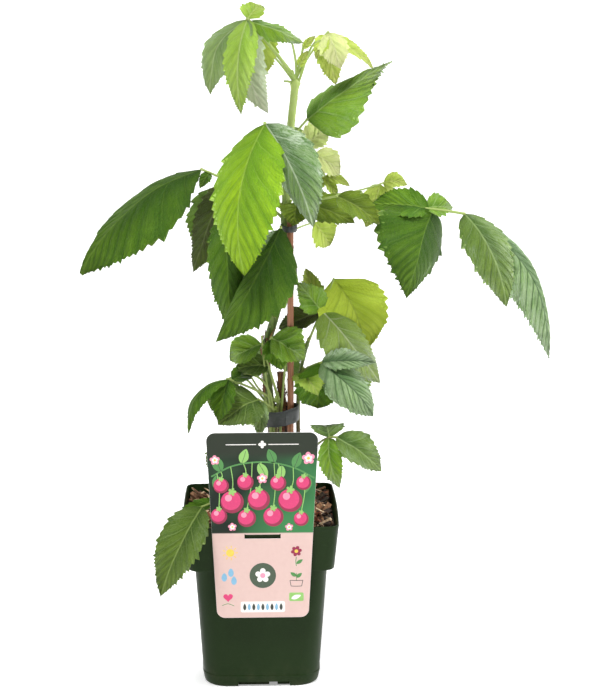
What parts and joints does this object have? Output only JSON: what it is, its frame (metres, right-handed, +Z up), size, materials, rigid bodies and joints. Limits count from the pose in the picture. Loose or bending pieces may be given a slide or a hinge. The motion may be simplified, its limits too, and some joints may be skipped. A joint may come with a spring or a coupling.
{
  "type": "potted raspberry cane",
  "caption": "Young raspberry cane tied to a bamboo stake, with large toothed compound leaves, in a square nursery pot with a stick-in plant label.",
  "frame": {"origin": "centre of the pot's underside, on the plane the pot stands on", "axes": "+Z up along the plant, -Y the front with the plant label, +X to the right of that front"},
  "size_m": [0.3923, 0.1979, 0.5735],
  "materials": {
    "pot_plastic": "dark green moulded plastic, satin",
    "bark_mulch": "loose bark and wood chips, damp and matt",
    "label_card": "printed plastic card, satin",
    "bamboo": "split bamboo, stained red brown",
    "tie_band": "soft grey plastic tape",
    "green_cane": "green hairy stem with fine prickles",
    "woody_cane": "flaking red brown bark",
    "leaf_pale": "soft grey green leaf with a silver sheen",
    "leaf_lime": "thin yellow green leaf",
    "leaf_mid": "mid green leaf, satin",
    "leaf_bright": "bright yellow green leaf, satin",
    "leaf_olive": "olive leaf with a brown cast",
    "leaf_dark": "dark green leaf, glossy on its upper side"
  },
  "bodies": {
    "root": {"pot": "pot_plastic", "soil": "bark_mulch", "label": "label_card", "stake": "bamboo", "tie_low": "tie_band", "tie_middle": "tie_band", "tie_top": "tie_band", "main_cane": "green_cane", "left_shoot": "green_cane", "right_shoot": "green_cane", "old_cane_stub": "woody_cane", "leaf_top": "leaf_pale", "leaf_tip_right": "leaf_lime", "leaf_tip_bud": "leaf_lime", "leaf_upper_right": "leaf_mid", "leaf_pale_back": "leaf_lime", "leaf_front_pair": "leaf_bright", "leaf_mid_right": "leaf_olive", "leaf_lime_hanging": "leaf_lime", "leaf_thin_stalk": "leaf_lime", "leaf_far_right": "leaf_dark", "leaf_far_left": "leaf_dark", "leaf_left_dark": "leaf_dark", "leaf_left_drooping": "leaf_dark", "leaf_right_large": "leaf_lime", "leaf_right_quilted": "leaf_pale", "leaf_low_left_pair": "leaf_dark", "leaf_low_left_pale": "leaf_pale", "leaf_low_olive": "leaf_olive", "leaf_low_centre": "leaf_mid", "leaf_low_right": "leaf_mid", "leaf_over_rim": "leaf_mid", "leaf_back_head": "leaf_pale", "leaf_back_upper": "leaf_mid", "leaf_back_left": "leaf_dark", "leaf_back_middle": "leaf_dark", "leaf_back_low_right": "leaf_mid", "leaf_back_low_left": "leaf_mid", "leaf_back_low": "leaf_dark", "leaf_back_foot_left": "leaf_mid", "leaf_back_foot_right": "leaf_mid"}
  },
  "joints": []
}
